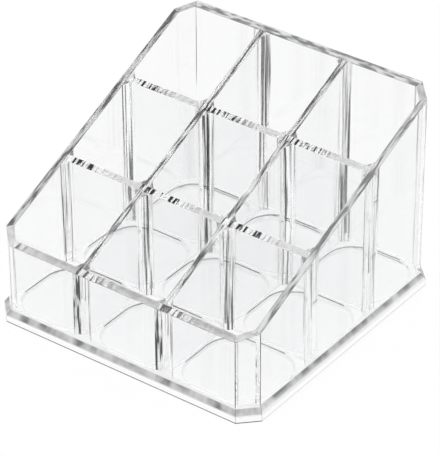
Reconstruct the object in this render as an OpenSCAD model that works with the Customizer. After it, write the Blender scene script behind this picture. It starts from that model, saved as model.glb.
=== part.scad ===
// Clear desktop organizer with nine open compartments under one slanted rim.
// Four walls and four mitred corner panels stand on a bevelled base tray, two fore-and-aft
// dividers and two cross dividers interlock by half laps, and triangular strips fill every
// inside corner where panels meet. The origin is the centre of the underside, the low front
// faces -Y and the tall back faces +Y. All lengths are millimetres.

/* [Compartments] */
// Clear width of each compartment, left to right
cell_w = 27; // [20:0.5:45]
// Clear depth of each compartment, front to back
cell_d = 27; // [20:0.5:45]

/* [Base tray] */
// Height of the upright edge of the lip
lip_h = 2.1; // [1:0.1:4]
// Height of the bevel between the lip and the foot of the walls
bevel_h = 2.1; // [1.4:0.1:5]
// How far the bevel runs in from the lip to the walls
bevel_run = 1.4; // [0.5:0.05:4]
// Corner cut of the lip, measured along each side
lip_corner_cut = 5.2; // [3:0.1:12]

/* [Dished floors] */
// Depth of each compartment floor below the foot of the walls
floor_dish = 1.2; // [0.6:0.1:1.3]
// Radius of the edge round each floor
floor_edge_r = 1; // [0.2:0.1:1]
// Corner radius of each floor, seen from above
floor_corner_r = 8.8; // [4.5:0.1:9]
// Flat land left between a floor and the panels round it
floor_land = 0.25; // [0.1:0.05:1]

/* [Walls] */
// Height of the rim at the front
front_h = 26; // [18:0.5:60]
// Height of the rim at the back
rear_h = 65; // [50:0.5:120]
// Thickness of the outer walls and corner panels
wall_t = 2.1; // [1:0.1:4]
// Corner cut of the walls, measured along each side
wall_corner_cut = 4.9; // [3.2:0.1:9]

/* [Dividers] */
// Thickness of the dividers
divider_t = 2; // [1:0.1:4]
// Clearance of each half-lap slot over the divider in it, both sides together
lap_clearance = 0.1; // [0:0.05:0.4]
// Share of a crossing's height at which the two half-lap slots meet
lap_share = 0.5; // [0.3:0.05:0.7]
// Leg of the triangular strips along each panel
strip_leg = 1.8; // [1:0.1:3.5]

/* [Hidden] */
$fn = 48;

// Two dividers each way make three columns and three rows of compartments
dividers_each_way = 2;
quarter_turn = 90;
diagonal = sqrt(2);
// Ways from a centre to its four corners, anticlockwise from the rear right
corner_ways = [[1, 1], [-1, 1], [-1, -1], [1, -1]];

clear_tint = [0.93, 0.95, 0.96, 0.45];

// The compartments and the dividers between them set the space inside the walls
pitch_x = cell_w + divider_t;
pitch_y = cell_d + divider_t;
inner_w = cell_w + dividers_each_way * pitch_x;
inner_d = cell_d + dividers_each_way * pitch_y;

// The walls stand on the tray where its bevel ends
body_w = inner_w + 2 * wall_t;
body_d = inner_d + 2 * wall_t;
base_w = body_w + 2 * bevel_run;
base_d = body_d + 2 * bevel_run;
seat_z = lip_h + bevel_h;
floor_z = seat_z - floor_dish;

divider_x = pitch_x / 2;
divider_y = pitch_y / 2;
inner_corner_cut = wall_corner_cut - (2 - diagonal) * wall_t;
lap_slot_w = divider_t + lap_clearance;

// Height of the slanted rim at a depth y
function rim_z(y) = front_h + (rear_h - front_h) * (y / body_d + 1 / 2);

// Height at which the half laps meet where two dividers cross at a depth y
function lap_z(y) = seat_z + (rim_z(y) - seat_z) * lap_share;

// Corners of a w by d rectangle with its corners cut, from the front edge anticlockwise
function cut_rectangle(w, d, cut) = [
    [-w / 2 + cut, -d / 2], [w / 2 - cut, -d / 2],
    [w / 2, -d / 2 + cut], [w / 2, d / 2 - cut],
    [w / 2 - cut, d / 2], [-w / 2 + cut, d / 2],
    [-w / 2, d / 2 - cut], [-w / 2, -d / 2 + cut],
];

outer_ring = cut_rectangle(body_w, body_d, wall_corner_cut);
inner_ring = cut_rectangle(inner_w, inner_d, inner_corner_cut);

// Everything below the slanted rim, wider than the body so that it only trims tops
module space_below_rim() {
    rotate([quarter_turn, 0, quarter_turn])
        linear_extrude(base_w, center = true)
            polygon([
                [-base_d / 2, 0], [base_d / 2, 0],
                [base_d / 2, rim_z(base_d / 2)], [-base_d / 2, rim_z(-base_d / 2)],
            ]);
}

// A plan outline raised from the seat of the walls up to the slanted rim
module upright() {
    intersection() {
        translate([0, 0, seat_z])
            linear_extrude(rear_h)
                children();
        space_below_rim();
    }
}

// Section of the tray across one direction: upright lip, then bevel up to the seat
module tray_section(lip_span, seat_span) {
    polygon([
        [-lip_span / 2, 0], [lip_span / 2, 0], [lip_span / 2, lip_h],
        [seat_span / 2, seat_z], [-seat_span / 2, seat_z], [-lip_span / 2, lip_h],
    ]);
}

// That section as a long bar lying across the tray, turned about Z
module tray_bar(lip_span, seat_span, turn) {
    rotate([quarter_turn, 0, turn])
        linear_extrude(base_w + base_d, center = true)
            tray_section(lip_span, seat_span);
}

// The solid tray is what four such bars share: two square on and two across the corners
module tray_blank() {
    lip_diagonal = (base_w + base_d - 2 * lip_corner_cut) / diagonal;
    seat_diagonal = (body_w + body_d - 2 * wall_corner_cut) / diagonal;
    intersection() {
        tray_bar(base_w, body_w, 0);
        tray_bar(base_d, body_d, quarter_turn);
        tray_bar(lip_diagonal, seat_diagonal, quarter_turn / 2);
        tray_bar(lip_diagonal, seat_diagonal, -quarter_turn / 2);
    }
}

// A floor dish in section, from its centre line out to one side: the flat floor, the round
// edge and the straight side, drawn past the seat so that the cut is open on top
module dish_section(half_span) {
    square([half_span - floor_edge_r, 2 * floor_dish]);
    translate([0, floor_edge_r])
        square([half_span, 2 * floor_dish - floor_edge_r]);
    translate([half_span - floor_edge_r, floor_edge_r])
        circle(floor_edge_r);
}

// A straight run of the dish, from one corner centre to the next
module dish_run(span, length) {
    rotate([quarter_turn, 0, 0])
        linear_extrude(length, center = true) {
            dish_section(span / 2);
            mirror([1, 0])
                dish_section(span / 2);
        }
}

// The dished space that is sunk into the tray under one compartment
module floor_recess() {
    span_x = cell_w - 2 * floor_land;
    span_y = cell_d - 2 * floor_land;
    run_x = span_x - 2 * floor_corner_r;
    run_y = span_y - 2 * floor_corner_r;
    dish_run(span_x, run_y);
    rotate([0, 0, quarter_turn])
        dish_run(span_y, run_x);
    for (quarter = [0:3])
        translate([corner_ways[quarter].x * run_x / 2, corner_ways[quarter].y * run_y / 2, 0])
            rotate([0, 0, quarter * quarter_turn])
                rotate_extrude(angle = quarter_turn)
                    dish_section(floor_corner_r);
}

module base_tray() {
    color(clear_tint)
        difference() {
            tray_blank();
            for (column = [-1:1], row = [-1:1])
                translate([column * pitch_x, row * pitch_y, floor_z])
                    floor_recess();
        }
}

// One side of the mitred ring of walls: the span between two of its corners
module ring_side(first, last) {
    color(clear_tint)
        upright()
            polygon([outer_ring[first], outer_ring[last], inner_ring[last], inner_ring[first]]);
}

// A divider that runs front to back, slotted from the top down to each half lap
module fore_and_aft_divider(x) {
    color(clear_tint)
        difference() {
            upright()
                translate([x - divider_t / 2, -inner_d / 2])
                    square([divider_t, inner_d]);
            for (y = [-divider_y, divider_y])
                translate([x, y, lap_z(y)])
                    linear_extrude(rear_h)
                        square([2 * divider_t, lap_slot_w], center = true);
        }
}

// A divider that runs left to right, slotted from the foot up to each half lap
module cross_divider(y) {
    color(clear_tint)
        difference() {
            upright()
                translate([-inner_w / 2, y - divider_t / 2])
                    square([inner_w, divider_t]);
            for (x = [-divider_x, divider_x])
                translate([x, y, 0])
                    linear_extrude(lap_z(y))
                        square([lap_slot_w, 2 * divider_t], center = true);
        }
}

// A triangular strip whose square corner sits at x, y with its legs along x_way and y_way
module corner_strip(x, y, x_way, y_way) {
    color(clear_tint)
        upright()
            polygon([[x, y], [x + x_way * strip_leg, y], [x, y + y_way * strip_leg]]);
}

// Four strips round the crossing of two dividers
module crossing_strips(x, y) {
    for (x_way = [-1, 1], y_way = [-1, 1])
        corner_strip(x + x_way * divider_t / 2, y + y_way * divider_t / 2, x_way, y_way);
}

// Two strips where a fore-and-aft divider meets the front wall (side -1) or rear wall (1)
module end_wall_strips(x, side) {
    for (x_way = [-1, 1])
        corner_strip(x + x_way * divider_t / 2, side * inner_d / 2, x_way, -side);
}

// Two strips where a cross divider meets the left wall (side -1) or right wall (1)
module side_wall_strips(y, side) {
    for (y_way = [-1, 1])
        corner_strip(side * inner_w / 2, y + y_way * divider_t / 2, -side, y_way);
}

module front_wall() { ring_side(0, 1); }
module front_right_corner_panel() { ring_side(1, 2); }
module right_wall() { ring_side(2, 3); }
module rear_right_corner_panel() { ring_side(3, 4); }
module rear_wall() { ring_side(4, 5); }
module rear_left_corner_panel() { ring_side(5, 6); }
module left_wall() { ring_side(6, 7); }
module front_left_corner_panel() { ring_side(7, 0); }

module left_divider() { fore_and_aft_divider(-divider_x); }
module right_divider() { fore_and_aft_divider(divider_x); }
module front_divider() { cross_divider(-divider_y); }
module rear_divider() { cross_divider(divider_y); }

module front_left_crossing_strips() { crossing_strips(-divider_x, -divider_y); }
module front_right_crossing_strips() { crossing_strips(divider_x, -divider_y); }
module rear_left_crossing_strips() { crossing_strips(-divider_x, divider_y); }
module rear_right_crossing_strips() { crossing_strips(divider_x, divider_y); }

module front_wall_left_strips() { end_wall_strips(-divider_x, -1); }
module front_wall_right_strips() { end_wall_strips(divider_x, -1); }
module rear_wall_left_strips() { end_wall_strips(-divider_x, 1); }
module rear_wall_right_strips() { end_wall_strips(divider_x, 1); }

module left_wall_front_strips() { side_wall_strips(-divider_y, -1); }
module left_wall_rear_strips() { side_wall_strips(divider_y, -1); }
module right_wall_front_strips() { side_wall_strips(-divider_y, 1); }
module right_wall_rear_strips() { side_wall_strips(divider_y, 1); }

base_tray();
front_wall();
rear_wall();
left_wall();
right_wall();
front_left_corner_panel();
front_right_corner_panel();
rear_left_corner_panel();
rear_right_corner_panel();
left_divider();
right_divider();
front_divider();
rear_divider();
front_left_crossing_strips();
front_right_crossing_strips();
rear_left_crossing_strips();
rear_right_crossing_strips();
front_wall_left_strips();
front_wall_right_strips();
rear_wall_left_strips();
rear_wall_right_strips();
left_wall_front_strips();
left_wall_rear_strips();
right_wall_front_strips();
right_wall_rear_strips();
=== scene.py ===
"""Clear slanted vanity organizer: its dressed pieces, the floor, the light and the camera."""

import math

import bmesh
import bpy
from bpy.props import FloatProperty, FloatVectorProperty, IntProperty, PointerProperty
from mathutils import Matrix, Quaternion, Vector


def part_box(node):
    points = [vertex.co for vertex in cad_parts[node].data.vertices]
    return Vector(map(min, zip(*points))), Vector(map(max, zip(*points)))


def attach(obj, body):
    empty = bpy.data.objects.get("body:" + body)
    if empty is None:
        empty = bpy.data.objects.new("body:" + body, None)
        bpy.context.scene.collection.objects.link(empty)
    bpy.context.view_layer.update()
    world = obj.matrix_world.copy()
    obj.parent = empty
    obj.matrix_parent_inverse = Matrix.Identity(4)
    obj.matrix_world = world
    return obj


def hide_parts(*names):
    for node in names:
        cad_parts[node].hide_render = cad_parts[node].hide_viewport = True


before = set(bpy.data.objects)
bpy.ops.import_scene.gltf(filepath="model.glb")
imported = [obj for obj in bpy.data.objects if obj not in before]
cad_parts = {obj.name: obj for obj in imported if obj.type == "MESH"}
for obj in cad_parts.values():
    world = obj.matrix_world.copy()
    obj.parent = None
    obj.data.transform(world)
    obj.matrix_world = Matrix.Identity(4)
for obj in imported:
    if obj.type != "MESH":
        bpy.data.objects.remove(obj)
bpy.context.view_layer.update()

bl_info = {
    "name": "Clear slanted vanity organizer",
    "version": (1, 0, 0),
    "blender": (4, 5, 0),
    "location": "View3D > Sidebar > Organizer",
    "description": "Makes a clear organizer with nine compartments under a slanted rim",
    "category": "Add Mesh",
}

# ---------------------------------------------------------------- sizes read from the frame

# Distances under which two points are one, two heights are level, and a point lies on a line
SAME = 1e-7
CLOSE = 1e-6
NEAR = 1e-5


def tidy(length):
    """A length without the last digits that the frame's meshes lose."""
    return round(length, 7)


def node_points(node):
    return [v.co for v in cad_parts[node].data.vertices]


tray_points = node_points("base_tray")
right_wall_points = node_points("right_wall")
right_low, right_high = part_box("right_wall")
rear_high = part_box("rear_wall")[1]
divider_low, divider_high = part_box("left_divider")
cross_low, cross_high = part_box("front_divider")
strips_low, strips_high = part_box("front_left_crossing_strips")
tray_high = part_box("base_tray")[1]

BASE_X, BASE_Y, SEAT_Z = tidy(tray_high.x), tidy(tray_high.y), tidy(tray_high.z)
lip_side = [p for p in tray_points if p.x > BASE_X - CLOSE]
LIP_Z = tidy(max(p.z for p in lip_side))
LIP_CUT = tidy(BASE_Y - max(p.y for p in lip_side))

BODY_X, BODY_Y = tidy(right_high.x), tidy(rear_high.y)
WALL = tidy(right_high.x - right_low.x)
INNER_X, INNER_Y = tidy(BODY_X - WALL), tidy(BODY_Y - WALL)
outer_side = [p for p in right_wall_points if p.x > BODY_X - CLOSE]
inner_side = [p for p in right_wall_points if p.x < INNER_X + CLOSE]
BODY_CUT = tidy(BODY_Y - max(p.y for p in outer_side))
INNER_CUT = tidy(INNER_Y - max(p.y for p in inner_side))

rim_points = [p for p in outer_side if p.z > SEAT_Z + CLOSE]
rim_front = min(rim_points, key=lambda p: p.y)
rim_back = max(rim_points, key=lambda p: p.y)
RIM_SLOPE = (rim_back.z - rim_front.z) / (rim_back.y - rim_front.y)
RIM_MIDDLE = rim_front.z - RIM_SLOPE * rim_front.y
RIM_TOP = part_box("rear_wall")[1].z

DIVIDER = tidy(divider_high.x - divider_low.x)
DIVIDER_X = tidy(-(divider_low.x + divider_high.x) / 2)
DIVIDER_Y = tidy(-(cross_low.y + cross_high.y) / 2)
STRIP = tidy((strips_high.x - strips_low.x - DIVIDER) / 2)
CELL_X, CELL_Y = tidy(DIVIDER_X - DIVIDER / 2), tidy(DIVIDER_Y - DIVIDER / 2)
inside_walls = [p for p in tray_points if abs(p.x) < INNER_X and abs(p.y) < INNER_Y]
FLOOR_Z = tidy(min(p.z for p in inside_walls if p.z > CLOSE))

# The pieces above the tray part from it a hair over the seat, clear of the land round each floor
CEMENT_Z = SEAT_Z + 0.00005

# Cutters run from under the tray to well over the rim, and one that cuts another runs on past it
CLEAR_TOP = RIM_TOP + 0.02
CLEAR_BOTTOM = -0.01
OVERRUN = 0.01

# The bands of painted shade along the base are told by the height up to here
BAND_TOP = SEAT_Z + 0.0004


def rim_z(y):
    return RIM_MIDDLE + RIM_SLOPE * y


def lap_z(y):
    """The height of the half laps: half way up the dividers."""
    return SEAT_Z + (rim_z(y) - SEAT_Z) / 2


# ---------------------------------------------------------------- sizes and colours to change


class ORGANIZER_PG_moulding(bpy.types.PropertyGroup):
    rim_round: FloatProperty(
        name="Rim rounding", description="Radius on the edges of the slanted rim",
        default=0.0003, min=0.00005, max=0.0006, unit="LENGTH", subtype="DISTANCE")
    compartment_round: FloatProperty(
        name="Compartment rounding",
        description="Radius in the upright corners of the compartments",
        default=0.00125, min=0.00005, max=0.0013, unit="LENGTH", subtype="DISTANCE")
    body_round: FloatProperty(
        name="Body rounding", description="Radius on the upright outer edges of the body",
        default=0.0006, min=0.00005, max=0.0008, unit="LENGTH", subtype="DISTANCE")
    foot_round: FloatProperty(
        name="Foot rounding", description="Radius where the walls and dividers meet the tray",
        default=0.0002, min=0.00005, max=0.0005, unit="LENGTH", subtype="DISTANCE")
    lip_round: FloatProperty(
        name="Lip rounding", description="Radius on the edges of the base lip",
        default=0.00025, min=0.00005, max=0.0006, unit="LENGTH", subtype="DISTANCE")
    floor_corner: FloatProperty(
        name="Floor corner radius",
        description="Radius of the corners of each dished floor, from above",
        default=0.0088, min=0.003, max=0.009, unit="LENGTH", subtype="DISTANCE")
    floor_edge: FloatProperty(
        name="Floor edge radius", description="Radius between a dished floor and its side",
        default=0.001, min=0.0003, max=0.0012, unit="LENGTH", subtype="DISTANCE")
    floor_land: FloatProperty(
        name="Floor land", description="Flat land between a dished floor and the panels round it",
        default=0.00025, min=0.0001, max=0.001, unit="LENGTH", subtype="DISTANCE")
    round_steps: IntProperty(
        name="Rounding steps", description="Facets across each rounded edge",
        default=6, min=1, max=8)


class ORGANIZER_PG_plastic(bpy.types.PropertyGroup):
    # The rim's dark, light and grey are painted shade: dashes and an even grey that stand in for
    # light bent and reflected inside the plastic
    rim_dark: FloatProperty(
        name="Rim dark", description="Tint of the dark dashes on the dividers' tops",
        default=0, min=0, max=1)
    rim_light: FloatProperty(
        name="Rim light", description="Tint of the bright dashes on the dividers' tops",
        default=1, min=0, max=1)
    rim_grey: FloatProperty(
        name="Rim grey", description="Tint of the calm stretches of the dividers' tops",
        default=0.62, min=0, max=1)
    refraction: FloatProperty(
        name="Refractive index", description="Refractive index of the plastic",
        default=1.49, min=1.3, max=1.7)
    lamp_tint: FloatVectorProperty(
        name="Lamp tint",
        description="Share of lamp light that one face lets through to the table",
        subtype="COLOR", size=3, default=(0.97, 0.97, 0.97), min=0, max=1)


class ORGANIZER_PG_studio(bpy.types.PropertyGroup):
    floor_colour: FloatVectorProperty(
        name="Table colour", description="Colour of the table", subtype="COLOR", size=3,
        default=(0.9, 0.9, 0.9), min=0, max=1)
    lamp_power: FloatProperty(
        name="Lamp power", description="Power of the soft lamp over the table",
        default=4, min=0, max=100, unit="POWER")
    camera_azimuth: FloatProperty(
        name="Camera azimuth", description="Turn of the camera from the front towards the right",
        default=math.radians(36.7209), subtype="ANGLE", unit="ROTATION")
    camera_elevation: FloatProperty(
        name="Camera elevation", description="Height angle of the camera",
        default=math.radians(33.5236), subtype="ANGLE", unit="ROTATION")
    camera_roll: FloatProperty(
        name="Camera roll", description="Tilt of the camera about its view",
        default=math.radians(-0.2357), subtype="ANGLE", unit="ROTATION")
    camera_distance: FloatProperty(
        name="Camera distance", description="Distance from the camera to the point it aims at",
        default=0.817516, unit="LENGTH", subtype="DISTANCE")
    camera_aim: FloatVectorProperty(
        name="Camera aim", description="Point that the camera looks at",
        default=(0.006826, -0.007142, 0.03), size=3, subtype="XYZ", unit="LENGTH")
    camera_lens: FloatProperty(
        name="Camera lens", description="Focal length in millimetres", default=228.179)


# ---------------------------------------------------------------- meshes and cutters


def make_object(bm, name):
    """A new object in the scene from a bmesh, which it frees."""
    mesh = bpy.data.meshes.new(name)
    bm.to_mesh(mesh)
    bm.free()
    piece = bpy.data.objects.new(name, mesh)
    bpy.context.scene.collection.objects.link(piece)
    return piece


def drop(piece):
    """Takes an object and its mesh out of the file."""
    mesh = piece.data
    bpy.data.objects.remove(piece)
    bpy.data.meshes.remove(mesh)


def apply_modifiers(piece):
    """Turns what the modifiers make into the piece's own plain mesh."""
    graph = bpy.context.evaluated_depsgraph_get()
    made = bpy.data.meshes.new_from_object(piece.evaluated_get(graph))
    piece.modifiers.clear()
    old = piece.data
    piece.data = made
    bpy.data.meshes.remove(old)


def join_loops(bm, rings):
    """Faces between each ring of points and the next."""
    for low, high in zip(rings, rings[1:]):
        for k in range(len(low)):
            after = (k + 1) % len(low)
            bm.faces.new([low[k], low[after], high[after], high[k]])


def loft(rings, name):
    """A closed solid over rings of equal counts, lowest first, each anticlockwise from above."""
    bm = bmesh.new()
    loops = [[bm.verts.new(p) for p in ring] for ring in rings]
    bm.faces.new(list(reversed(loops[0])))
    join_loops(bm, loops)
    bm.faces.new(loops[-1])
    return make_object(bm, name)


def at_height(outline, z):
    """A plan outline in space, at one height or at a height that follows y."""
    return [Vector((p.x, p.y, z(p.y) if callable(z) else z)) for p in outline]


def prisms(outlines, name, low, high, finish):
    """Upright prisms over plan outlines, as one cutter whose faces carry the finish."""
    bm = bmesh.new()
    for outline in outlines:
        loops = [[bm.verts.new(p) for p in at_height(outline, z)] for z in (low, high)]
        bm.faces.new(list(reversed(loops[0])))
        join_loops(bm, loops)
        bm.faces.new(loops[1])
    cutter = make_object(bm, name)
    cutter.data.materials.append(finish)
    return cutter


def cement_cutter(outlines, name, low=CEMENT_Z, high=CLEAR_TOP):
    """Prisms that leave the cement line on the faces that they cut."""
    return prisms(outlines, name, low, high, finished("cement_line"))


def cut(piece, cutter, operation):
    """Cuts a piece. The new faces take the finish of the cutter."""
    step = piece.modifiers.new("cut", "BOOLEAN")
    step.object = cutter
    step.operation = operation
    step.solver = "EXACT"
    step.material_mode = "TRANSFER"
    apply_modifiers(piece)


def check_closed(piece):
    """Stops the script where a piece has a gap or is inside out."""
    bm = bmesh.new()
    bm.from_mesh(piece.data)
    open_edges = sum(not e.is_manifold for e in bm.edges)
    volume = bm.calc_volume()
    bm.free()
    if open_edges or volume <= 0:
        raise RuntimeError(f"{piece.name} isn't closed: {open_edges} open edges, volume {volume}")


# ---------------------------------------------------------------- plan of the organizer


def cut_rectangle(half_x, half_y, corner):
    """A rectangle with its corners cut, anticlockwise from the left end of the front edge."""
    return [Vector((x, y)) for x, y in (
        (-half_x + corner, -half_y), (half_x - corner, -half_y),
        (half_x, -half_y + corner), (half_x, half_y - corner),
        (half_x - corner, half_y), (-half_x + corner, half_y),
        (-half_x, half_y - corner), (-half_x, -half_y + corner))]


def rounded_rectangle(half_x, half_y, radius, steps=12):
    """A rectangle with round corners, anticlockwise from its right side."""
    points = []
    for way_x, way_y, start in ((1, 1, 0), (-1, 1, 90), (-1, -1, 180), (1, -1, 270)):
        for k in range(steps + 1):
            angle = math.radians(start + 90 * k / steps)
            points.append(Vector((way_x * (half_x - radius) + radius * math.cos(angle),
                                  way_y * (half_y - radius) + radius * math.sin(angle))))
    return points


def compartment_edges():
    """The edges of the nine compartments in plan, each with the centre of its compartment."""
    edges = []
    for column in (-1, 0, 1):
        for row in (-1, 0, 1):
            centre = Vector((column * 2 * DIVIDER_X, row * 2 * DIVIDER_Y))
            points = [p + centre for p in cut_rectangle(CELL_X, CELL_Y, STRIP)]
            if column and row:
                # The compartment in a corner of the body meets the corner panel there
                first = {(1, -1): 1, (1, 1): 3, (-1, 1): 5, (-1, -1): 7}[column, row]
                wide = cut_rectangle(INNER_X, INNER_Y, INNER_CUT)
                points[first] = wide[first]
                points[(first + 1) % 8] = wide[(first + 1) % 8]
            edges += [(points[k], points[(k + 1) % 8], centre) for k in range(8)]
    return edges


EDGES = compartment_edges()


def lies_on(point, start, end):
    """Whether a point lies on the line from start to end."""
    along = end - start
    share = (point - start).dot(along) / along.length_squared
    slack = 1e-4
    return -slack < share < 1 + slack and (start + along * share - point).length < NEAR


def with_air(outline):
    """A piece's outline, let out to the middle of each compartment that it faces."""
    points = []
    for k, start in enumerate(outline):
        end = outline[(k + 1) % len(outline)]
        points.append(start)
        faced = [(a, b, centre) for a, b, centre in EDGES
                 if lies_on(a, start, end) and lies_on(b, start, end)]
        for a, b, centre in sorted(faced, key=lambda e: (e[0] - start).length):
            if (a - start).length > (b - start).length:
                a, b = b, a
            points += [a, centre, b]
    return [p for k, p in enumerate(points) if (p - points[k - 1]).length > SAME]


outer_ring = cut_rectangle(BODY_X, BODY_Y, BODY_CUT)
inner_ring = cut_rectangle(INNER_X, INNER_Y, INNER_CUT)

# The mitres run on in line, three times the wall's thickness past its outer face
PAST_WALL = 3
far_ring = [o + (o - i) * PAST_WALL for o, i in zip(outer_ring, inner_ring)]


def ring_outline(side):
    """A wall or corner panel between its two mitres, let out past the outer face."""
    after = (side + 1) % 8
    return with_air([far_ring[side], far_ring[after], inner_ring[after], inner_ring[side]])


def divider_outline(low_x, high_x, low_y, high_y):
    """A divider, or a slot in one, between its faces."""
    corners = ((low_x, low_y), (high_x, low_y), (high_x, high_y), (low_x, high_y))
    return with_air([Vector(p) for p in corners])


def strip_outline(x, y, way_x, way_y):
    """A triangular strip in the corner at a point, with its legs along two ways."""
    corner = Vector((x, y))
    leg_x, leg_y = Vector((x + way_x * STRIP, y)), Vector((x, y + way_y * STRIP))
    order = [corner, leg_x, leg_y] if way_x * way_y > 0 else [corner, leg_y, leg_x]
    return with_air(order)


WALLS = {"front_wall": 0, "right_wall": 2, "rear_wall": 4, "left_wall": 6}
CORNER_PANELS = {"front_right_corner_panel": 1, "rear_right_corner_panel": 3,
                 "rear_left_corner_panel": 5, "front_left_corner_panel": 7}
SIDES = {"left": -1, "right": 1, "front": -1, "rear": 1}

# ---------------------------------------------------------------- finishes

WHITE = (1, 1, 1, 1)

# A dark painted shade is this much of its grey in red, green and blue, a touch towards blue
COOL = (1, 1.005, 1.01)

# The painted dashes of shade on a top that runs across begin this share of a divider's
# thickness to the left of each crossing's middle, and settle this far to their even painted grey
PAINTED_DASHES_START = 0.6
SETTLED = 0.85

# Bands of painted shade along the base: heights in metres, each with its share of the painted
# shade. The foot line is a painted dark line along the foot of the lip
FRONT_BAND = ((0, 0), (0.0022, 0), (0.0024, 1), (0.0038, 1), (0.00395, 0))
SIDE_BAND = ((0, 0), (0.0025, 0), (0.003, 0.75), (0.0036, 1), (BAND_TOP, 1))
FOOT_LINE = ((0, 1), (0.0003, 1), (0.0004, 0))


def new_finish(name):
    finish = bpy.data.materials.new(name)
    finish.use_nodes = True
    return finish, finish.node_tree.nodes, finish.node_tree.links


def finished(name):
    return bpy.data.materials[name]


def fill(links, socket, value):
    """Gives a socket its value, which is another socket, a number or a colour."""
    if isinstance(value, bpy.types.NodeSocket):
        links.new(value, socket)
    else:
        socket.default_value = value


def maths(nodes, links, operation, *values):
    """The result of a Math node."""
    step = nodes.new("ShaderNodeMath")
    step.operation = operation
    for value, socket in zip(values, step.inputs):
        fill(links, socket, value)
    return step.outputs[0]


def between(nodes, links, share, first, second):
    """The colour that lies between two by a share."""
    mix = nodes.new("ShaderNodeMix")
    mix.data_type = "RGBA"
    fill(links, mix.inputs["Factor"], share)
    fill(links, mix.inputs["A"], first)
    fill(links, mix.inputs["B"], second)
    return mix.outputs["Result"]


def either_shader(nodes, links, share, first, second, output):
    """Shows the first shader, or the second by a share."""
    either = nodes.new("ShaderNodeMixShader")
    for value, socket in zip((share, first, second), either.inputs):
        links.new(value, socket)
    links.new(either.outputs[0], nodes[output].inputs["Surface"])


def grey_ramp(nodes, links, value, steps):
    """A ramp of greys over a value from 0 to 1. A step is a position and its grey."""
    ramp = nodes.new("ShaderNodeValToRGB")
    for k, (position, grey) in enumerate(steps):
        step = ramp.color_ramp.elements[k] if k < 2 else ramp.color_ramp.elements.new(position)
        step.position = position
        step.color = (grey, grey, grey, 1)
    links.new(value, ramp.inputs[0])
    return ramp.outputs[0]


def streaks(nodes, links, place, stretch, sharpness, middle):
    """A noise drawn out along some axes, from 0 to 1 about its middle.

    The stretch is how often it changes in a metre across, along and up. The sharpness is its
    contrast."""
    scale = nodes.new("ShaderNodeMapping")
    scale.inputs["Scale"].default_value = stretch
    links.new(place.outputs["Object"], scale.inputs["Vector"])
    noise = nodes.new("ShaderNodeTexNoise")
    noise.inputs["Scale"].default_value = 1
    noise.inputs["Detail"].default_value = 2
    links.new(scale.outputs["Vector"], noise.inputs["Vector"])
    spread = nodes.new("ShaderNodeMapRange")
    spread.inputs["From Min"].default_value = middle - 0.5 / sharpness
    spread.inputs["From Max"].default_value = middle + 0.5 / sharpness
    links.new(noise.outputs["Fac"], spread.inputs["Value"])
    return spread.outputs["Result"]


def settled(nodes, links, place, tone_and_painted_shade, fade):
    """The painted shade of a top that runs across: dark and bright dashes, which settle to an even
    painted grey in each compartment.

    The fade is that grey, and the shares of the way from one divider to the next where it starts
    and ends."""
    grey, start, end = fade
    across = nodes.new("ShaderNodeSeparateXYZ")
    links.new(place.outputs["Object"], across.inputs[0])
    start_x = 3 * DIVIDER_X + PAINTED_DASHES_START * DIVIDER
    from_left = maths(nodes, links, "ADD", across.outputs["X"], start_x)
    way = maths(nodes, links, "FRACT", maths(nodes, links, "DIVIDE", from_left, 2 * DIVIDER_X))
    settle = nodes.new("ShaderNodeMapRange")
    settle.inputs["From Min"].default_value = start
    settle.inputs["From Max"].default_value = end
    settle.inputs["To Max"].default_value = SETTLED
    links.new(way, settle.inputs["Value"])
    return between(nodes, links, settle.outputs["Result"], tone_and_painted_shade, (grey, grey, grey, 1))


def in_bands(nodes, links, place, tone_and_painted_shade, bands):
    """Painted shade in bands along the base, and clear plastic between them."""
    height = nodes.new("ShaderNodeSeparateXYZ")
    links.new(place.outputs["Object"], height.inputs[0])
    part = nodes.new("ShaderNodeMapRange")
    part.inputs["From Max"].default_value = BAND_TOP
    links.new(height.outputs["Z"], part.inputs["Value"])
    steps = [(z / BAND_TOP, share) for z, share in bands]
    share = grey_ramp(nodes, links, part.outputs["Result"], steps)
    return between(nodes, links, share, WHITE, tone_and_painted_shade)


def faint_ripples(nodes, links, place):
    """The faint unevenness of a moulded face, as a normal."""
    ripples = nodes.new("ShaderNodeTexNoise")
    ripples.inputs["Scale"].default_value = 90
    ripples.inputs["Detail"].default_value = 1
    links.new(place.outputs["Object"], ripples.inputs["Vector"])
    bump = nodes.new("ShaderNodeBump")
    bump.inputs["Strength"].default_value = 0.02
    bump.inputs["Distance"].default_value = 0.0002
    links.new(ripples.outputs["Fac"], bump.inputs["Height"])
    return bump.outputs["Normal"]


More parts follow.
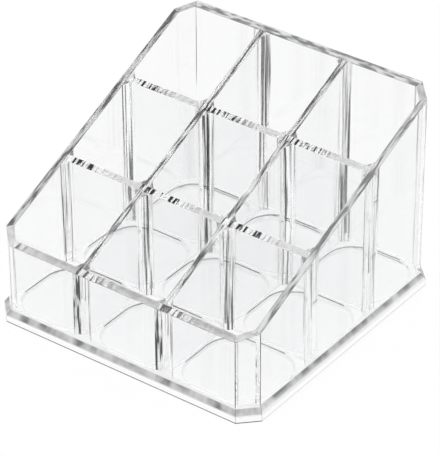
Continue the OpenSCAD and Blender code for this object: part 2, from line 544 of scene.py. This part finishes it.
def clear_finish(name, dark, light, sharpness, stretch=(60, 60, 60), haze=0, middle=0.5,
                 fade=None, bands=None, milk=0, mirror=0):
    """Clear plastic whose base colour streaks between two greys, and whose haze is its roughness.
    Near white the streaks are a random tone of the plastic; dark, they are painted shade that
    stands in for light that the plastic bends and reflects inside.

    The fade is for a top whose painted shade settles to an even grey, and the bands are painted
    shade along the sides of the base. The milk is the share of light that the surface scatters,
    and the mirror the share that it throws back, as the inside of a thick base does."""
    settings = bpy.context.scene.organizer_plastic
    finish, nodes, links = new_finish(name)
    plastic = nodes["Principled BSDF"]
    plastic.inputs["Transmission Weight"].default_value = 1 - milk
    plastic.inputs["Metallic"].default_value = mirror
    plastic.inputs["IOR"].default_value = settings.refraction
    plastic.inputs["Roughness"].default_value = haze

    place = nodes.new("ShaderNodeTexCoord")
    # The base colour: a random tone of the plastic, or painted shade where its greys are dark
    tone_and_painted_shade = between(nodes, links, streaks(nodes, links, place, stretch, sharpness, middle),
                   (*(dark * part for part in COOL), 1), (light, light, light, 1))
    if fade:
        tone_and_painted_shade = settled(nodes, links, place, tone_and_painted_shade, fade)
    if bands:
        tone_and_painted_shade = in_bands(nodes, links, place, tone_and_painted_shade, bands)
    links.new(tone_and_painted_shade, plastic.inputs["Base Color"])
    links.new(faint_ripples(nodes, links, place), plastic.inputs["Normal"])

    # Light that falls on the table comes straight through, because a render at this size
    # can't gather the bright patterns that bent light would make
    path = nodes.new("ShaderNodeLightPath")
    falls = maths(nodes, links, "MAXIMUM",
                  path.outputs["Is Shadow Ray"], path.outputs["Is Diffuse Ray"])
    through = nodes.new("ShaderNodeBsdfTransparent")
    through.inputs["Color"].default_value = (*settings.lamp_tint, 1)
    either_shader(nodes, links, falls, plastic.outputs[0], through.outputs[0], "Material Output")


def cement_line():
    """The welded faces between pieces, which can't be seen in the clear body."""
    finish, nodes, links = new_finish("cement_line")
    nodes.remove(nodes["Principled BSDF"])
    clear = nodes.new("ShaderNodeBsdfTransparent")
    links.new(clear.outputs[0], nodes["Material Output"].inputs["Surface"])


def make_finishes():
    """Makes every finish, because the blank and its cutters carry them."""
    plastic = bpy.context.scene.organizer_plastic
    clear_finish("polished_clear", 0.945, 0.975, sharpness=1)
    clear_finish("underside", 0.99, 1, sharpness=1, haze=0.4, milk=0.65)
    cement_line()
    # Slanted tops, painted with shade: dark and bright dashes and even greys that stand in for
    # light bent and reflected inside the plastic, and a painted dark outline along their edges
    clear_finish("divider_top", plastic.rim_dark, plastic.rim_light, sharpness=9,
                 stretch=(1100, 130, 40), haze=0.2, fade=(plastic.rim_grey, 0.45, 0.75))
    clear_finish("front_wall_top", 0.02, 0.85, sharpness=8, stretch=(900, 130, 40), haze=0.15,
                 fade=(0.4, 0.2, 0.5))
    clear_finish("long_divider_top", 0.02, 0.85, sharpness=6, stretch=(1500, 130, 60), haze=0.2,
                 middle=0.515)
    clear_finish("side_wall_top", 0.05, 0.72, sharpness=6, stretch=(1000, 130, 60), haze=0.3,
                 middle=0.52)
    clear_finish("left_wall_top", 0.02, 0.48, sharpness=7, stretch=(1000, 130, 60), haze=0.3,
                 middle=0.52)
    clear_finish("end_wall_top", 0.07, 0.75, sharpness=6, stretch=(200, 1000, 60), haze=0.3,
                 middle=0.52)
    clear_finish("corner_top", 0.12, 0.58, sharpness=3, stretch=(80, 300, 60), haze=0.03,
                 middle=0.46)
    clear_finish("strip_top", 0.12, 0.9, sharpness=7, stretch=(700, 250, 60), haze=0.15,
                 middle=0.52)
    clear_finish("rim_outline", 0, 0.2, sharpness=3)
    # Upright strips and edges, painted with dark lines and dashes of shade along their roundings
    clear_finish("corner_strip", 0.03, 1, sharpness=9, stretch=(1600, 1600, 35), middle=0.45)
    clear_finish("wall_strip", 0.05, 1, sharpness=9, stretch=(1700, 1700, 30), haze=0.05,
                 middle=0.46)
    clear_finish("front_strip", 0, 0.75, sharpness=7, stretch=(1100, 1100, 110))
    clear_finish("post_foot", 0, 0.3, sharpness=4, stretch=(600, 600, 60))
    clear_finish("body_edge", 0, 0.05, sharpness=6, stretch=(60, 60, 170), haze=0.1, middle=0.6)
    clear_finish("edge_dashes", 0, 1, sharpness=8, stretch=(900, 900, 330))
    # The tray, painted with dark lines of shade at the floors' edges, grey bands of shade on the
    # bevel, and dark lines along the lip's foot and roundings
    clear_finish("floor_edge", 0, 0.15, sharpness=2, haze=0.02)
    clear_finish("tray_bevel", 0.06, 0.52, sharpness=4, stretch=(220, 220, 60), haze=0.15,
                 middle=0.48, bands=FRONT_BAND)
    clear_finish("side_bevel", 0.08, 0.55, sharpness=4, stretch=(100, 220, 60), haze=0.15,
                 bands=SIDE_BAND)
    clear_finish("tray_lip", 0.1, 0.2, sharpness=2, haze=0.25, bands=FOOT_LINE, mirror=1)
    clear_finish("side_lip", 0.6, 0.7, sharpness=2, haze=0.25, bands=FOOT_LINE, mirror=1)
    clear_finish("lip_outline", 0, 0.1, sharpness=2, haze=0.05, milk=0.7)


# The finish of a piece's slanted top, where it isn't the same as on a divider that runs across
TOPS = {"front_wall": "front_wall_top", "rear_wall": "end_wall_top",
        "left_wall": "left_wall_top", "right_wall": "side_wall_top",
        "left_divider": "long_divider_top", "right_divider": "long_divider_top"}
TOPS.update((node, "corner_top") for node in CORNER_PANELS)

FINISHES = ("polished_clear", "divider_top", "rim_outline", "corner_strip", "post_foot",
            "body_edge", "edge_dashes", "floor_edge", "tray_bevel", "side_bevel", "tray_lip",
            "side_lip", "lip_outline", "underside")

# Places that tell the faces of the rounded blank apart
CORNER_LINE = INNER_X + INNER_Y - INNER_CUT
OUTER_SKIN = 0.0006
RIM_REACH = 0.00045
BODY_FOOT = SEAT_Z + 0.001
SEAT_EDGE = SEAT_Z + 0.00016
LIP_EDGE = LIP_Z - 0.0001
DISH_EDGE = FLOOR_Z + 0.0008
CORNER_EDGE = CORNER_LINE - 0.0001

# The same for directions, as parts of a face's normal: how far it points up, or how much its two
# level parts have or differ
RISING, LEANING, STEEP, NEARLY_UP, UP = 0.1, 0.2, 0.7, 0.9, 0.95
SLIGHT, TURNED, SQUARE_ON, FAR_SIDE = 0.02, 0.05, 0.1, 0.9
ROUNDING_MIDDLE = (0.35, 0.8)


def face_finish(face):
    """Which finish a face of the rounded blank gets, by where it lies and how it faces."""
    x, y, z = face.center
    facing = face.normal
    part_x, part_y = abs(facing.x), abs(facing.y)
    slant = abs(part_x - part_y)
    reach, spread = max(abs(x), abs(y)), abs(x) + abs(y)
    outside = reach > INNER_X + OUTER_SKIN or spread > CORNER_LINE + OUTER_SKIN
    off_rim = abs(z - rim_z(y))
    if z > BODY_FOOT and off_rim < RIM_REACH and facing.z > RISING:
        if off_rim < CLOSE:
            return "divider_top"
        on_wall = reach > INNER_X - OUTER_SKIN
        return "rim_outline" if on_wall or part_x > part_y else "polished_clear"
    if z < CLOSE:
        return "underside"
    if outside and z < SEAT_EDGE and facing.z < UP:
        if min(part_x, part_y, slant) > SLIGHT:
            return "lip_outline"
        side = "side" if part_y < SQUARE_ON * part_x else "tray"
        return side + ("_lip" if z < LIP_EDGE else "_bevel")
    if not outside and DISH_EDGE < z < SEAT_Z and facing.z < STEEP:
        far_side = facing.x - facing.y > FAR_SIDE * math.hypot(facing.x, facing.y)
        return "floor_edge" if far_side else "polished_clear"
    # The rest are upright, or the small rounding at a post's foot
    if z < SEAT_Z or min(part_x, part_y) <= TURNED:
        return "polished_clear"
    in_corner = spread > CORNER_EDGE
    if abs(facing.z) > LEANING:
        return "post_foot" if facing.z < NEARLY_UP and not in_corner else "polished_clear"
    if not in_corner:
        return "corner_strip"
    # The rear left corner gets no painted line. In the others the whole rounding between a wall
    # and a corner panel gets a painted dark line outside, and its middle one inside, with painted
    # dashes on the right
    if x < 0 < y:
        return "polished_clear"
    if not outside and x > 0 and slant > TURNED and part_x > part_y:
        return "edge_dashes"
    on_line = slant > SLIGHT if outside else ROUNDING_MIDDLE[0] < slant < ROUNDING_MIDDLE[1]
    return "body_edge" if on_line else "polished_clear"


def coat(piece):
    """Gives each face of the blank its finish."""
    piece.data.materials.clear()
    for name in FINISHES:
        piece.data.materials.append(finished(name))
    for face in piece.data.polygons:
        face.material_index = FINISHES.index(face_finish(face))


# ---------------------------------------------------------------- repeats


def grid_tree():
    """A node tree that sets its geometry on every point of a grid."""
    if "on_a_grid" in bpy.data.node_groups:
        return bpy.data.node_groups["on_a_grid"]
    tree = bpy.data.node_groups.new("on_a_grid", "GeometryNodeTree")
    face = tree.interface
    face.new_socket("Geometry", in_out="INPUT", socket_type="NodeSocketGeometry")
    for name, kind in (("Spacing across", "NodeSocketFloat"), ("Spacing along", "NodeSocketFloat"),
                       ("Columns", "NodeSocketInt"), ("Rows", "NodeSocketInt"),
                       ("Finish", "NodeSocketMaterial")):
        face.new_socket(name, in_out="INPUT", socket_type=kind)
    face.new_socket("Geometry", in_out="OUTPUT", socket_type="NodeSocketGeometry")
    nodes, links = tree.nodes, tree.links
    given, result = nodes.new("NodeGroupInput"), nodes.new("NodeGroupOutput")
    grid = nodes.new("GeometryNodeMeshGrid")
    for spacing, count, size, vertices in (("Spacing across", "Columns", "Size X", "Vertices X"),
                                           ("Spacing along", "Rows", "Size Y", "Vertices Y")):
        gaps = maths(nodes, links, "SUBTRACT", given.outputs[count], 1)
        links.new(maths(nodes, links, "MULTIPLY", gaps, given.outputs[spacing]), grid.inputs[size])
        links.new(given.outputs[count], grid.inputs[vertices])
    place = nodes.new("GeometryNodeInstanceOnPoints")
    real = nodes.new("GeometryNodeRealizeInstances")
    painted = nodes.new("GeometryNodeSetMaterial")
    links.new(grid.outputs["Mesh"], place.inputs["Points"])
    links.new(given.outputs["Geometry"], place.inputs["Instance"])
    links.new(place.outputs["Instances"], real.inputs["Geometry"])
    links.new(real.outputs["Geometry"], painted.inputs["Geometry"])
    links.new(given.outputs["Finish"], painted.inputs["Material"])
    links.new(painted.outputs["Geometry"], result.inputs["Geometry"])
    return tree


def repeat_on_grid(piece, columns, rows, finish):
    """Repeats a piece about the middle of the plan, as far apart as the dividers."""
    tree = grid_tree()
    step = piece.modifiers.new("grid", "NODES")
    step.node_group = tree
    values = {"Spacing across": 2 * DIVIDER_X, "Spacing along": 2 * DIVIDER_Y,
              "Columns": columns, "Rows": rows, "Finish": finish}
    for item in tree.interface.items_tree:
        if item.in_out == "INPUT" and item.name in values:
            step[item.identifier] = values[item.name]
    apply_modifiers(piece)


# ---------------------------------------------------------------- the clear blank


# Facets down the rounded edge of a dished floor
EDGE_STEPS = 6

# An edge of the blank as near as this to the outer side of the base or body belongs to it
AT_SIDE = 0.0002

# Angles under which two faces are one, and over which an edge is rounded
FLAT, SHARP = math.radians(0.5), math.radians(20)


def compartment_hollow(shape):
    """The space of one compartment: its dished floor, then an eight-sided shaft to the top."""
    bm = bmesh.new()
    half_x, half_y = CELL_X - shape.floor_land, CELL_Y - shape.floor_land
    rings = []
    for k in range(EDGE_STEPS + 1):
        angle = math.radians(90 * k / EDGE_STEPS)
        inset = shape.floor_edge * (1 - math.sin(angle))
        rings.append(at_height(
            rounded_rectangle(half_x - inset, half_y - inset, shape.floor_corner - inset),
            FLOOR_Z + shape.floor_edge * (1 - math.cos(angle))))
    rings.append(at_height(rounded_rectangle(half_x, half_y, shape.floor_corner), SEAT_Z))
    loops = [[bm.verts.new(p) for p in ring] for ring in rings]
    bm.faces.new(list(reversed(loops[0])))
    join_loops(bm, loops)
    shaft = cut_rectangle(CELL_X, CELL_Y, STRIP)
    loops = [[bm.verts.new(p) for p in at_height(shaft, z)] for z in (SEAT_Z, CLEAR_TOP)]
    join_loops(bm, loops)
    bm.faces.new(loops[1])
    bmesh.ops.bridge_loops(bm, edges=[e for e in bm.edges if e.is_boundary])
    bmesh.ops.recalc_face_normals(bm, faces=bm.faces)
    return make_object(bm, "hollow")


def edge_kind(edge):
    """Which rounding an edge of the blank gets, or None."""
    a, b = (v.co for v in edge.verts)
    reach = max(abs(a.x), abs(a.y))
    if all(p.z > BODY_FOOT and abs(p.z - rim_z(p.y)) < NEAR for p in (a, b)):
        return "rim_round"
    if abs(a.x - b.x) < CLOSE and abs(a.y - b.y) < CLOSE:
        if reach > BASE_X - AT_SIDE:
            return "lip_round"
        return "body_round" if reach > BODY_X - AT_SIDE else "compartment_round"
    if abs(a.z - SEAT_Z) < CLOSE and abs(b.z - SEAT_Z) < CLOSE:
        return "lip_round" if reach > BODY_X - AT_SIDE else "foot_round"
    if max(a.z, b.z) < SEAT_Z + CLOSE and reach > BODY_X - AT_SIDE:
        return "lip_round"
    return None


def round_edges(piece, shape):
    """Rounds the sharp edges by kind with one Bevel."""
    kinds = ("rim_round", "compartment_round", "body_round", "foot_round", "lip_round")
    widest = max(getattr(shape, kind) for kind in kinds)
    bm = bmesh.new()
    bm.from_mesh(piece.data)
    bmesh.ops.remove_doubles(bm, verts=bm.verts, dist=SAME)
    bmesh.ops.dissolve_limit(bm, angle_limit=FLAT, verts=bm.verts, edges=bm.edges, delimit=set())
    weight = bm.edges.layers.float.new("bevel_weight_edge")
    for edge in bm.edges:
        if edge.calc_face_angle(0) > SHARP:
            kind = edge_kind(edge)
            if kind:
                edge[weight] = getattr(shape, kind) / widest
    bm.to_mesh(piece.data)
    bm.free()
    step = piece.modifiers.new("round", "BEVEL")
    step.width = widest
    step.segments = shape.round_steps
    step.limit_method = "WEIGHT"
    step.use_clamp_overlap = True
    apply_modifiers(piece)
    for name in [a.name for a in piece.data.attributes if a.name.startswith("bevel_weight")]:
        piece.data.attributes.remove(piece.data.attributes[name])


def finished_piece(piece, *nodes):
    """Checks a finished piece and ties it to the frame."""
    check_closed(piece)
    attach(piece, "root")
    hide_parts(*nodes)


def piece_of_blank(node, cutter):
    """The part of the blank inside the cutter, as a node's clear piece. It uses the cutter up."""
    blank = bpy.data.objects["blank"]
    piece = bpy.data.objects.new("clear_" + node, blank.data.copy())
    bpy.context.scene.collection.objects.link(piece)
    cut(piece, cutter, "INTERSECT")
    drop(cutter)
    # The blank has one finish for all tops and one for all strips. Some nodes have their own
    own = {"divider_top": "strip_top" if "strips" in node else TOPS.get(node, "divider_top")}
    if "wall" in node:
        own["corner_strip"] = "front_strip" if node.startswith("front") else "wall_strip"
    for k, finish in enumerate(piece.data.materials):
        if finish.name in own:
            piece.data.materials[k] = finished(own[finish.name])
    piece.data.name = piece.name
    return piece


class ORGANIZER_OT_blank(bpy.types.Operator):
    """Make the clear body in one block: bevelled base, slanted rim and nine compartments"""
    bl_idname = "organizer.blank"
    bl_label = "Clear blank"

    def execute(self, context):
        shape = context.scene.organizer_moulding
        make_finishes()
        plastic = finished("polished_clear")
        lip = cut_rectangle(BASE_X, BASE_Y, LIP_CUT)
        blank = loft([at_height(lip, 0), at_height(lip, LIP_Z),
                      at_height(outer_ring, SEAT_Z), at_height(outer_ring, rim_z)], "blank")
        blank.data.materials.append(plastic)
        hollows = compartment_hollow(shape)
        repeat_on_grid(hollows, 3, 3, plastic)
        inside = prisms([inner_ring], "inside", CLEAR_BOTTOM, CLEAR_TOP + OVERRUN, plastic)
        cut(hollows, inside, "INTERSECT")
        cut(blank, hollows, "DIFFERENCE")
        drop(hollows)
        drop(inside)
        round_edges(blank, shape)
        coat(blank)
        check_closed(blank)
        return {"FINISHED"}


class ORGANIZER_OT_base_tray(bpy.types.Operator):
    """Cut the base tray: lip, bevel and nine dished floors"""
    bl_idname = "organizer.base_tray"
    bl_label = "Base tray"

    def execute(self, context):
        # The cutter takes in all that lies under the cement, well past the base all round
        reach, corner = 0.06, 0.001
        outline = cut_rectangle(reach, reach, corner)
        below = cement_cutter([outline], "below", CLEAR_BOTTOM, CEMENT_Z)
        finished_piece(piece_of_blank("base_tray", below), "base_tray")
        return {"FINISHED"}


class ORGANIZER_OT_walls(bpy.types.Operator):
    """Cut the four flat walls between their mitres"""
    bl_idname = "organizer.walls"
    bl_label = "Walls"

    def execute(self, context):
        for node, side in WALLS.items():
            finished_piece(piece_of_blank(node, cement_cutter([ring_outline(side)], node)), node)
        return {"FINISHED"}


class ORGANIZER_OT_corner_panels(bpy.types.Operator):
    """Cut the four corner panels that stand across the corners of the body"""
    bl_idname = "organizer.corner_panels"
    bl_label = "Corner panels"

    def execute(self, context):
        for node, side in CORNER_PANELS.items():
            finished_piece(piece_of_blank(node, cement_cutter([ring_outline(side)], node)), node)
        return {"FINISHED"}


class ORGANIZER_OT_dividers(bpy.types.Operator):
    """Cut the four dividers and their half laps"""
    bl_idname = "organizer.dividers"
    bl_label = "Dividers"

    def execute(self, context):
        # Each slot is as wide as the divider that it takes, and runs out past both faces
        half, past = DIVIDER / 2, DIVIDER * 0.75
        for side in ("left", "right"):
            node, x = side + "_divider", SIDES[side] * DIVIDER_X
            outline = divider_outline(x - half, x + half, -INNER_Y, INNER_Y)
            piece = piece_of_blank(node, cement_cutter([outline], node))
            for y in (-DIVIDER_Y, DIVIDER_Y):
                slot = cement_cutter([divider_outline(x - past, x + past, y - half, y + half)],
                                     "slot", lap_z(y), CLEAR_TOP + OVERRUN)
                cut(piece, slot, "DIFFERENCE")
                drop(slot)
            finished_piece(piece, node)
        for side in ("front", "rear"):
            node, y = side + "_divider", SIDES[side] * DIVIDER_Y
            outline = divider_outline(-INNER_X, INNER_X, y - half, y + half)
            piece = piece_of_blank(node, cement_cutter([outline], node))
            for x in (-DIVIDER_X, DIVIDER_X):
                slot = cement_cutter([divider_outline(x - half, x + half, y - past, y + past)],
                                     "slot", CLEAR_BOTTOM, lap_z(y))
                cut(piece, slot, "DIFFERENCE")
                drop(slot)
            finished_piece(piece, node)
        return {"FINISHED"}


class ORGANIZER_OT_crossing_strips(bpy.types.Operator):
    """Cut the four sets of triangular strips round the crossings of the dividers"""
    bl_idname = "organizer.crossing_strips"
    bl_label = "Crossing strips"

    def execute(self, context):
        # The set of the rear right crossing, moved to the middle of the plan, repeats at all four
        crossing = Vector((DIVIDER_X, DIVIDER_Y))
        outlines = []
        for way_x, way_y in ((1, 1), (-1, 1), (-1, -1), (1, -1)):
            x, y = DIVIDER_X + way_x * DIVIDER / 2, DIVIDER_Y + way_y * DIVIDER / 2
            outlines.append([p - crossing for p in strip_outline(x, y, way_x, way_y)])
        sets = cement_cutter(outlines, "strips")
        repeat_on_grid(sets, 2, 2, finished("cement_line"))
        every = piece_of_blank("crossing_strips", sets)
        for along in ("front", "rear"):
            for across in ("left", "right"):
                bm = bmesh.new()
                bm.from_mesh(every.data)
                others = [v for v in bm.verts
                          if v.co.x * SIDES[across] < 0 or v.co.y * SIDES[along] < 0]
                bmesh.ops.delete(bm, geom=others, context="VERTS")
                node = f"{along}_{across}_crossing_strips"
                piece = make_object(bm, "clear_" + node)
                for finish in every.data.materials:
                    piece.data.materials.append(finish)
                finished_piece(piece, node)
        drop(every)
        return {"FINISHED"}


class ORGANIZER_OT_wall_strips(bpy.types.Operator):
    """Cut the pairs of triangular strips where the dividers meet the walls"""
    bl_idname = "organizer.wall_strips"
    bl_label = "Wall strips"

    def execute(self, context):
        half = DIVIDER / 2
        for wall in ("front", "rear"):
            for across in ("left", "right"):
                node, x = f"{wall}_wall_{across}_strips", SIDES[across] * DIVIDER_X
                outlines = [strip_outline(x + way * half, SIDES[wall] * INNER_Y, way, -SIDES[wall])
                            for way in (-1, 1)]
                finished_piece(piece_of_blank(node, cement_cutter(outlines, node)), node)
        for wall in ("left", "right"):
            for along in ("front", "rear"):
                node, y = f"{wall}_wall_{along}_strips", SIDES[along] * DIVIDER_Y
                outlines = [strip_outline(SIDES[wall] * INNER_X, y + way * half, -SIDES[wall], way)
                            for way in (-1, 1)]
                finished_piece(piece_of_blank(node, cement_cutter(outlines, node)), node)
        return {"FINISHED"}


# ---------------------------------------------------------------- the studio


# The table's share of plain white, its half width, and how far it lies under the base
TABLE_WHITE = 0.85
TABLE_HALF = 3
TABLE_GAP = 0.0002

# The light that comes from each height round the studio, from level to overhead. Its dark band
# draws the edges of the plastic
STUDIO_STEPS = ((0.0, 1.0), (0.14, 1.0), (0.2, 0.15), (0.34, 0.15), (0.42, 1.0), (1.0, 1.0))

# Light crosses many clear faces before it leaves the organizer
BOUNCES, CLEAR_BOUNCES = 96, 128


def table_finish(colour):
    """A matt white table with a faint grain."""
    finish, nodes, links = new_finish("white_table")
    surface = nodes["Principled BSDF"]
    surface.inputs["Roughness"].default_value = 0.6
    place = nodes.new("ShaderNodeTexCoord")
    grain = nodes.new("ShaderNodeTexNoise")
    grain.inputs["Scale"].default_value = 300
    links.new(place.outputs["Object"], grain.inputs["Vector"])
    darker = tuple(part * 0.99 for part in colour)
    shade = between(nodes, links, grain.outputs["Fac"], (*colour, 1), (*darker, 1))
    links.new(shade, surface.inputs["Base Color"])
    # The table also stands for the white background, seen straight or in the plastic
    path = nodes.new("ShaderNodeLightPath")
    seen = path.outputs["Is Camera Ray"]
    for way in ("Is Transmission Ray", "Is Glossy Ray"):
        seen = maths(nodes, links, "MAXIMUM", seen, path.outputs[way])
    share = maths(nodes, links, "MULTIPLY", seen, TABLE_WHITE)
    white = nodes.new("ShaderNodeEmission")
    white.inputs["Color"].default_value = WHITE
    either_shader(nodes, links, share, surface.outputs[0], white.outputs[0], "Material Output")
    return finish


def studio_world():
    """Soft light with one dark band low round the studio, and plain white behind."""
    world = bpy.data.worlds.new("studio")
    world.use_nodes = True
    nodes, links = world.node_tree.nodes, world.node_tree.links
    light = nodes["Background"]
    light.inputs["Strength"].default_value = 1
    place = nodes.new("ShaderNodeTexCoord")
    height = nodes.new("ShaderNodeSeparateXYZ")
    links.new(place.outputs["Generated"], height.inputs[0])
    links.new(grey_ramp(nodes, links, height.outputs["Z"], STUDIO_STEPS), light.inputs["Color"])
    white = nodes.new("ShaderNodeBackground")
    white.inputs["Color"].default_value = WHITE
    white.inputs["Strength"].default_value = 1
    path = nodes.new("ShaderNodeLightPath")
    either_shader(nodes, links, path.outputs["Is Camera Ray"], light.outputs[0], white.outputs[0],
                  "World Output")
    return world


def soft_lamp(name, place, target, size, power):
    """A square lamp that faces its target."""
    lamp = bpy.data.lights.new(name, "AREA")
    lamp.energy = power
    lamp.size = size
    holder = bpy.data.objects.new(name, lamp)
    bpy.context.scene.collection.objects.link(holder)
    holder.location = place
    holder.rotation_mode = "QUATERNION"
    holder.rotation_quaternion = (Vector(target) - Vector(place)).to_track_quat("-Z", "Y")


class ORGANIZER_OT_stage(bpy.types.Operator):
    """Set the table, the light and the camera"""
    bl_idname = "organizer.stage"
    bl_label = "Stage"

    def execute(self, context):
        studio = context.scene.organizer_studio
        bm = bmesh.new()
        bmesh.ops.create_grid(bm, x_segments=1, y_segments=1, size=TABLE_HALF)
        bmesh.ops.translate(bm, verts=bm.verts, vec=(0, 0, -TABLE_GAP))
        table = make_object(bm, "table")
        table.data.materials.append(table_finish(studio.floor_colour))

        scene = context.scene
        scene.world = studio_world()
        soft_lamp("overhead", place=(0, 0.1, 1.2), target=(0, 0, 0), size=1,
                  power=studio.lamp_power)

        camera = bpy.data.cameras.new("camera")
        camera.lens = studio.camera_lens
        camera.sensor_width = 36
        camera.clip_start = 0.01
        camera.clip_end = 50
        holder = bpy.data.objects.new("camera", camera)
        scene.collection.objects.link(holder)
        scene.camera = holder
        turn, rise = studio.camera_azimuth, studio.camera_elevation
        level = math.cos(rise)
        back = Vector((math.sin(turn) * level, -math.cos(turn) * level, math.sin(rise)))
        holder.location = Vector(studio.camera_aim) + back * studio.camera_distance
        holder.rotation_mode = "QUATERNION"
        upright = (-back).to_track_quat("-Z", "Y")
        holder.rotation_quaternion = Quaternion(back, studio.camera_roll) @ upright

        scene.view_settings.view_transform = "Standard"
        scene.cycles.max_bounces = BOUNCES
        scene.cycles.transmission_bounces = BOUNCES
        scene.cycles.glossy_bounces = BOUNCES
        scene.cycles.transparent_max_bounces = CLEAR_BOUNCES
        return {"FINISHED"}


class ORGANIZER_PT_panel(bpy.types.Panel):
    bl_idname = "ORGANIZER_PT_panel"
    bl_label = "Clear organizer"
    bl_space_type = "VIEW_3D"
    bl_region_type = "UI"
    bl_category = "Organizer"

    def draw(self, context):
        for operator in OPERATORS:
            self.layout.operator(operator.bl_idname)
        for name in GROUPS:
            group = getattr(context.scene, name)
            box = self.layout.box()
            for setting in group.__annotations__:
                box.prop(group, setting)


GROUPS = {"organizer_moulding": ORGANIZER_PG_moulding, "organizer_plastic": ORGANIZER_PG_plastic,
          "organizer_studio": ORGANIZER_PG_studio}
OPERATORS = (ORGANIZER_OT_blank, ORGANIZER_OT_base_tray, ORGANIZER_OT_walls,
             ORGANIZER_OT_corner_panels, ORGANIZER_OT_dividers, ORGANIZER_OT_crossing_strips,
             ORGANIZER_OT_wall_strips, ORGANIZER_OT_stage)


def register():
    for group in GROUPS.values():
        bpy.utils.register_class(group)
    for name, group in GROUPS.items():
        setattr(bpy.types.Scene, name, PointerProperty(type=group))
    for operator in OPERATORS:
        bpy.utils.register_class(operator)
    bpy.utils.register_class(ORGANIZER_PT_panel)


def unregister():
    bpy.utils.unregister_class(ORGANIZER_PT_panel)
    for operator in reversed(OPERATORS):
        bpy.utils.unregister_class(operator)
    for name, group in GROUPS.items():
        delattr(bpy.types.Scene, name)
        bpy.utils.unregister_class(group)


def main():
    register()
    bpy.ops.organizer.blank()
    bpy.ops.organizer.base_tray()
    bpy.ops.organizer.walls()
    bpy.ops.organizer.corner_panels()
    bpy.ops.organizer.dividers()
    bpy.ops.organizer.crossing_strips()
    bpy.ops.organizer.wall_strips()
    drop(bpy.data.objects["blank"])
    bpy.ops.organizer.stage()


if __name__ == "__main__":
    main()
